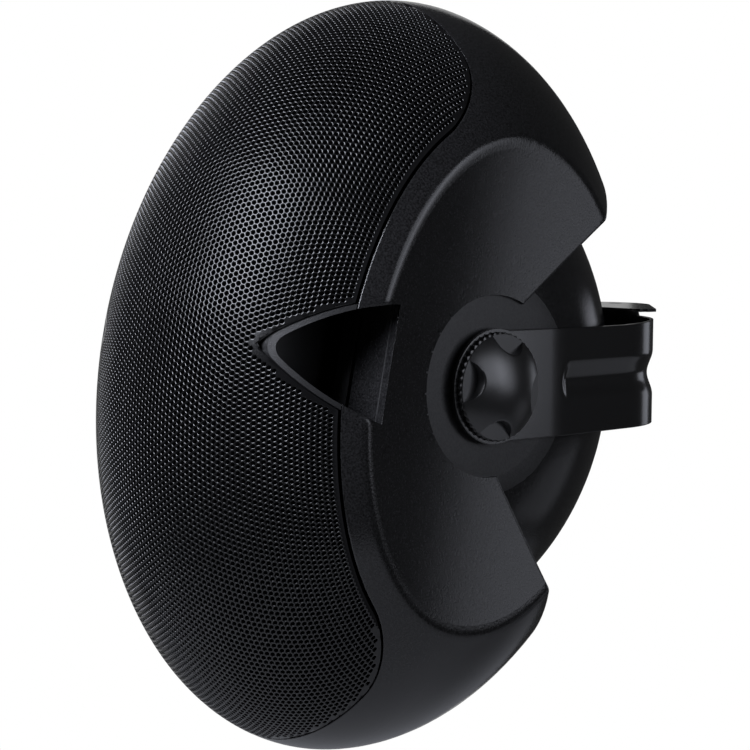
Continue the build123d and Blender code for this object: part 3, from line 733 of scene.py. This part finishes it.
deep_black = (0.003, 0.003, 0.0033)
black = (0.007, 0.007, 0.0075)
soft_black = (0.011, 0.011, 0.0115)
worn_black = (0.016, 0.016, 0.0167)
dark_rubber = (0.010, 0.010, 0.010)
pale_rubber = (0.016, 0.016, 0.016)
looks = {
    "bracket_steel": dict(dark=black, pale=soft_black, roughness=0.17, spread=0.03,
                          grain=0.0006, relief=0.015, shine=0.9, edge=0.0006),
    "cabinet_plastic": dict(dark=soft_black, pale=worn_black, roughness=0.15, spread=0.03,
                            grain=0.0008, relief=0.07, edge=0.0006, speckle=8.0, cabinet=True),
    "grille_steel": dict(dark=deep_black, pale=black, roughness=0.175, spread=0.03,
                         grain=0.0004, relief=0.02),
    "lining_cloth": dict(dark=(0.002, 0.002, 0.002), pale=(0.004, 0.004, 0.004),
                         roughness=0.9, spread=0.1, grain=0.0008, relief=0.3, shine=0.0),
    "baffle_plastic": dict(dark=black, pale=soft_black, roughness=0.42, spread=0.10,
                           grain=0.0005, relief=0.25),
    "seal_rubber": dict(dark=dark_rubber, pale=pale_rubber, roughness=0.75, spread=0.1,
                        grain=0.0008, relief=0.3),
    "screw_steel": dict(dark=(0.10, 0.10, 0.105), pale=(0.16, 0.16, 0.165), roughness=0.35,
                        spread=0.1, grain=0.0004, relief=0.1, metallic=0.9),
    "frame_steel": dict(dark=(0.02, 0.02, 0.02), pale=(0.04, 0.04, 0.04), roughness=0.5,
                        spread=0.1, grain=0.0008, relief=0.2, metallic=0.3),
    "magnet_ferrite": dict(dark=(0.03, 0.03, 0.032), pale=(0.06, 0.06, 0.062), roughness=0.7,
                           spread=0.1, grain=0.0008, relief=0.3),
    "cone_plastic": dict(dark=(0.014, 0.014, 0.015), pale=(0.024, 0.024, 0.025), roughness=0.6,
                         spread=0.1, grain=0.001, relief=0.3),
    "dome_fabric": dict(dark=(0.016, 0.016, 0.017), pale=(0.03, 0.03, 0.03), roughness=0.65,
                        spread=0.1, grain=0.0006, relief=0.4),
    "board_plastic": dict(dark=(0.02, 0.10, 0.04), pale=(0.03, 0.14, 0.06), roughness=0.5,
                          spread=0.1, grain=0.001, relief=0.1),
    "coil_copper": dict(dark=(0.45, 0.18, 0.07), pale=(0.6, 0.26, 0.12), roughness=0.35,
                        spread=0.1, grain=0.0008, relief=0.3, metallic=0.9),
    "capacitor_plastic": dict(dark=(0.02, 0.03, 0.09), pale=(0.03, 0.04, 0.12), roughness=0.4,
                              spread=0.1, grain=0.001, relief=0.1),
    "insert_brass": dict(dark=(0.5, 0.36, 0.14), pale=(0.62, 0.46, 0.2), roughness=0.35,
                         spread=0.1, grain=0.0006, relief=0.2, metallic=0.9),
    "washer_rubber": dict(dark=dark_rubber, pale=pale_rubber, roughness=0.8, spread=0.1,
                          grain=0.0008, relief=0.3),
    "knob_plastic": dict(dark=black, pale=soft_black, roughness=0.30, spread=0.06,
                         grain=0.0006, relief=0.03, shine=0.9),
}
finishes = {name: grained(name, **look) for name, look in looks.items()}


# Pieces made here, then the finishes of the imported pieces

columns = 2 * math.ceil(blank_half_width / (hole_pitch * column_share)) + 1
rows = 2 * math.ceil(blank_half_height / hole_pitch) + 1
skin_group = skin_tree()
skins = [skin_piece(name, skin_group, pitch=hole_pitch, hole_share=hole_share, sheet=sheet,
                    border=plain_border, turned_edge=turned_edge, columns=columns, rows=rows,
                    side=side, material=finishes["grille_steel"])
         for name, side in (("grille_skin_right", 1.0), ("grille_skin_left", -1.0))]
for skin in skins:
    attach(skin, "cabinet")
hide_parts("front_grille")

knobs = [knob_piece("right", 1.0), knob_piece("left", -1.0)]
for knob in knobs:
    knob.data.materials.append(finishes["knob_plastic"])
    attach(knob, knob.name)
    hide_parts("clamp_" + knob.name)

strap = strap_piece()
drilled(strap, strap_hole)
for piece in (strap, lug_piece()):
    piece.data.materials.clear()
    piece.data.materials.append(finishes["bracket_steel"])
    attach(piece, "bracket")
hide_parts("u_bracket")

slots = {part["node"]: part["material_slot"] for part in frame["record"]["subparts"]}
for name, node in frame["nodes"].items():
    node.data.materials.clear()
    node.data.materials.append(finishes[slots[name]])


# Studio

overhead = Vector((0.0, 0.0, 1.0))
photo_right = Vector((math.cos(view_azimuth), math.sin(view_azimuth), 0.0))
level_back = Vector((math.sin(view_azimuth), -math.cos(view_azimuth), 0.0))
centre = hub + Vector((0.0, -centre_ahead, 0.0))


def photo_camera():
    """Stands the camera where the photograph was taken from."""
    back = level_back * math.cos(view_elevation) + overhead * math.sin(view_elevation)
    up = back.cross(photo_right)
    rolled_right = photo_right * math.cos(view_roll) + up * math.sin(view_roll)
    rolled_up = up * math.cos(view_roll) - photo_right * math.sin(view_roll)
    lens = bpy.data.cameras.new("photo_camera")
    lens.lens = view_lens
    lens.sensor_width = view_sensor
    camera = placed("photo_camera", lens)
    place = hub + rolled_right * view_right + rolled_up * view_up + back * view_distance
    turned = Matrix((rolled_right, rolled_up, back)).transposed().to_4x4()
    camera.matrix_world = Matrix.Translation(place) @ turned
    bpy.context.scene.camera = camera


def softbox(name, azimuth, elevation, distance, width, height, power):
    """A softbox aimed at the speaker, its azimuth in degrees from the camera to the right."""
    turn, lift = math.radians(azimuth), math.radians(elevation)
    level = photo_right * math.sin(turn) + level_back * math.cos(turn)
    light = bpy.data.lights.new(name, "AREA")
    light.shape = "RECTANGLE"
    light.size = width
    light.size_y = height
    light.energy = power
    light.color = lamp_tint
    lamp = placed(name, light)
    lamp.location = centre + (level * math.cos(lift) + overhead * math.sin(lift)) * distance
    lamp.rotation_euler = (centre - lamp.location).to_track_quat("-Z", "Y").to_euler()


def white_to_camera(tree, reflected, cast):
    """A white glow to the camera, dimmer in reflections and dimmest as light on the object."""
    path = tree.node("ShaderNodeLightPath")
    camera = Value(tree.tree, path.outputs["Is Camera Ray"])
    glossy = Value(tree.tree, path.outputs["Is Glossy Ray"])
    return camera.most(glossy * reflected).most(cast)


def white_world():
    world = bpy.data.worlds.new("studio")
    bpy.context.scene.world = world
    world.use_nodes = True
    world.node_tree.nodes.clear()
    tree = Tree(world.node_tree)
    glow = tree.value("ShaderNodeBackground", Color=white,
                      Strength=white_to_camera(tree, ambient, ambient))
    tree.node("ShaderNodeOutputWorld", Surface=glow)


def sheet_of_studio(name, corners, surface_of):
    """A flat sheet that stands round the speaker."""
    mesh = bpy.data.meshes.new(name)
    mesh.from_pydata([tuple(corner) for corner in corners], [], [tuple(range(len(corners)))])
    stand = placed(name, mesh)
    material, tree = finish_tree(name)
    tree.node("ShaderNodeOutputMaterial", Surface=surface_of(tree))
    mesh.materials.append(material)


def pale_paint(tree):
    """Grey paint that bounces light, paler to the camera's eye."""
    place = tree.value("ShaderNodeTexCoord", output=3)
    drift = tree.value("ShaderNodeTexNoise", Vector=place, Scale=floor_drift,
                       Detail=fine_detail)
    paint = tree.value("ShaderNodeBsdfPrincipled",
                       Base_Color=(floor_grey, floor_grey, floor_grey, 1.0),
                       Roughness=drift * floor_spread + floor_roughness)
    glow = tree.value("ShaderNodeEmission", Color=white, Strength=1.0)
    path = tree.node("ShaderNodeLightPath")
    seen = tree.node("ShaderNodeMixShader")
    paleness = Value(tree.tree, path.outputs["Is Camera Ray"]) * floor_paleness
    for socket, value in zip(seen.inputs, (paleness, paint, glow)):
        put(tree.tree, socket, value)
    return Value(tree.tree, seen.outputs[0])


def white_paper(tree):
    return tree.value("ShaderNodeEmission", Color=white,
                      Strength=white_to_camera(tree, backdrop_reflected, backdrop_cast))


photo_camera()
white_world()
floor_centre = Vector((centre.x, centre.y, floor_level))
floor_turns = [2 * math.pi * step / floor_sides for step in range(floor_sides)]
floor_edge = [floor_centre + Vector((math.cos(turn), math.sin(turn), 0.0)) * floor_radius
              for turn in floor_turns]
sheet_of_studio("floor", floor_edge, pale_paint)
paper_centre = centre - level_back * backdrop_behind
paper_corners = ((backdrop_left, -backdrop_half_height), (backdrop_right, -backdrop_half_height),
                 (backdrop_right, backdrop_half_height), (backdrop_left, backdrop_half_height))
paper_edge = [paper_centre + photo_right * x + overhead * z for x, z in paper_corners]
sheet_of_studio("backdrop", paper_edge, white_paper)
softbox("key_left", azimuth=-61.5, elevation=34.0, distance=1.4,
        width=0.72, height=0.76, power=36.0)
softbox("fill_right", azimuth=54.0, elevation=16.0, distance=1.4,
        width=0.90, height=0.8, power=3.5)
softbox("side_right", azimuth=73.7, elevation=8.4, distance=3.0,
        width=1.29, height=1.71, power=8.0)
softbox("rim_right", azimuth=129.5, elevation=-0.5, distance=1.4,
        width=0.36, height=0.33, power=0.29)
softbox("low_right", azimuth=108.0, elevation=-21.0, distance=1.4,
        width=0.55, height=0.34, power=0.12)
bpy.context.scene.view_settings.view_transform = "Standard"
